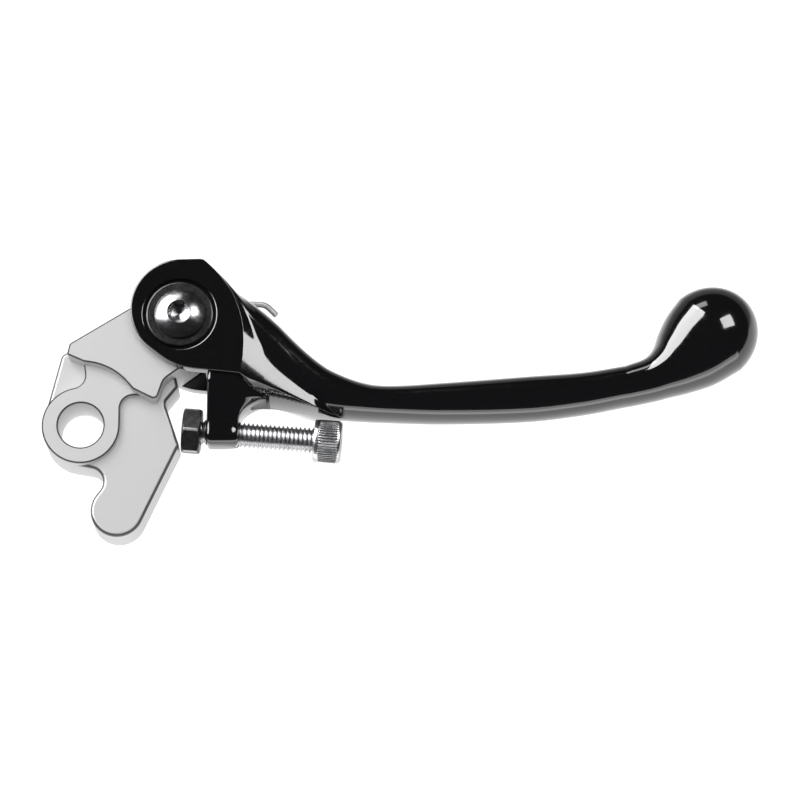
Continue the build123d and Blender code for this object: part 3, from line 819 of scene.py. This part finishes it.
def tube(path, radius, around=20, soften=0.14):
    """Round wire along a path, its cut ends slightly rounded."""
    rows = []
    normal = Vector((0, 0, 1))
    for i, p in enumerate(path):
        ahead = path[min(i + 1, len(path) - 1)] - path[max(i - 1, 0)]
        ahead.normalize()
        normal = (normal - ahead * normal.dot(ahead)).normalized()
        other = ahead.cross(normal)
        ring = [(p, radius)]
        if i == 0:
            ring = [(p, radius - soften), (p + ahead * soften, radius)]
        if i == len(path) - 1:
            ring = [(p - ahead * soften, radius), (p, radius - soften)]
        for centre, r in ring:
            rows.append([centre + normal * (r * cos(2 * pi * j / around))
                         + other * (r * sin(2 * pi * j / around)) for j in range(around)])
    return skin(rows)


spring = new_object("return_spring", tube(spring_path(), WIRE_R), 40)
spring.data.materials.append(wire.material)
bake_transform(spring)
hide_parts("torsion_spring")

# ---- finishes of the CAD pieces ---------------------------------------------------------------

for name, finish in {
    "knuckle": alloy, "upper_bush": bronze, "lower_bush": bronze, "pivot_sleeve": steel,
    "upper_thrust_washer": bronze, "lower_thrust_washer": bronze, "nut_washer": washer_steel,
    "pivot_nut": steel, "nylon_ring": nylon,
}.items():
    node = frame["nodes"][name]
    node.data.materials.clear()
    node.data.materials.append(finish.material)

# ---- floor, light and camera ------------------------------------------------------------------

TARGET = Vector((0.0736, 0.00755, 0.0))
TILT = radians(14)
DISTANCE = 0.88
FLOOR_Z, FLOOR_WAVE, FLOOR_STEPS = -300.0, 4.0, 40
# Where along Y the floor's painted pool of glowing light starts and ends its fall, in metres
POOL_FULL, POOL_GONE, POOL_GLOW, POOL_REST = 0.20, 0.42, 1.0, 0.12


def add_floor():
    """A pale floor that glows by itself, brightest in a painted pool of light under and in front of
    the object.
    """
    rows = []
    for k in range(FLOOR_STEPS + 1):
        y = -1500 + 3000 * k / FLOOR_STEPS
        z = FLOOR_Z - FLOOR_WAVE * sin(k * 0.4)
        rows.append([(-2000 + 4000 * j / FLOOR_STEPS, y, z) for j in range(FLOOR_STEPS + 1)])
    floor = new_object("studio_floor", skin(rows, ring=False, caps=False))
    glow_finish = Finish("floor_painted_glow", (0.30, 0.30, 0.30), 0.0, 0.9)
    glow_finish.shader.inputs["Emission Color"].default_value = (1, 1, 1, 1)
    place = glow_finish.add("ShaderNodeTexCoord")
    split = glow_finish.add("ShaderNodeSeparateXYZ")
    glow_finish.link(place.outputs["Object"], split.inputs["Vector"])
    # Painted light: the floor's emission, strong in the pool near the object and faint beyond
    pool = glow_finish.spread(split.outputs["Y"], POOL_GLOW, POOL_REST, POOL_FULL, POOL_GONE)
    glow_finish.link(pool, glow_finish.shader.inputs["Emission Strength"])
    glow_finish.bump(glow_finish.noise(900, 3), 1e-5, 0.3)
    floor.data.materials.append(glow_finish.material)


def add_light(name, at, size, power, towards=TARGET):
    """A soft rectangular light, in metres and watts."""
    light = bpy.data.lights.new(name, "AREA")
    light.shape = "RECTANGLE"
    light.size, light.size_y = size
    light.energy = power
    obj = bpy.data.objects.new(name, light)
    obj.location = at
    obj.rotation_euler = (Vector(towards) - Vector(at)).to_track_quat("-Z", "Y").to_euler()
    bpy.context.scene.collection.objects.link(obj)


add_floor()
add_light("front_card", (0.0736, -0.75, -0.15), (2.6, 0.30), 5.0, (0.0736, 0.0, -0.15))
add_light("left_box", (-0.50, 0.38, 0.44), (0.95, 0.68), 24)
add_light("right_box", (0.70, 0.31, 0.70), (0.42, 0.46), 6)
add_light("back_strip", (-0.24, 0.90, 0.36), (0.54, 0.26), 1.8)
add_light("overhead_fill", (0.05, -0.1, 1.5), (1.6, 1.6), 21.5)
for name in ("left_box", "right_box", "back_strip"):
    bpy.data.objects[name].visible_diffuse = False
bpy.data.objects["overhead_fill"].visible_glossy = False

world = bpy.data.worlds.new("studio")
world.use_nodes = True
world.node_tree.nodes["Background"].inputs["Color"].default_value = (0.03, 0.03, 0.03, 1)
world.node_tree.nodes["Background"].inputs["Strength"].default_value = 1.0
bpy.context.scene.world = world
bpy.context.scene.view_settings.view_transform = "Standard"

camera_data = bpy.data.cameras.new("camera")
camera_data.lens = 170.3
camera_data.sensor_width = 36.0
camera_data.clip_start = 0.01
camera = bpy.data.objects.new("camera", camera_data)
camera.location = TARGET + Vector((0, -DISTANCE * sin(TILT), DISTANCE * cos(TILT)))
camera.rotation_euler = (TILT, 0, 0)
bpy.context.scene.collection.objects.link(camera)
bpy.context.scene.camera = camera
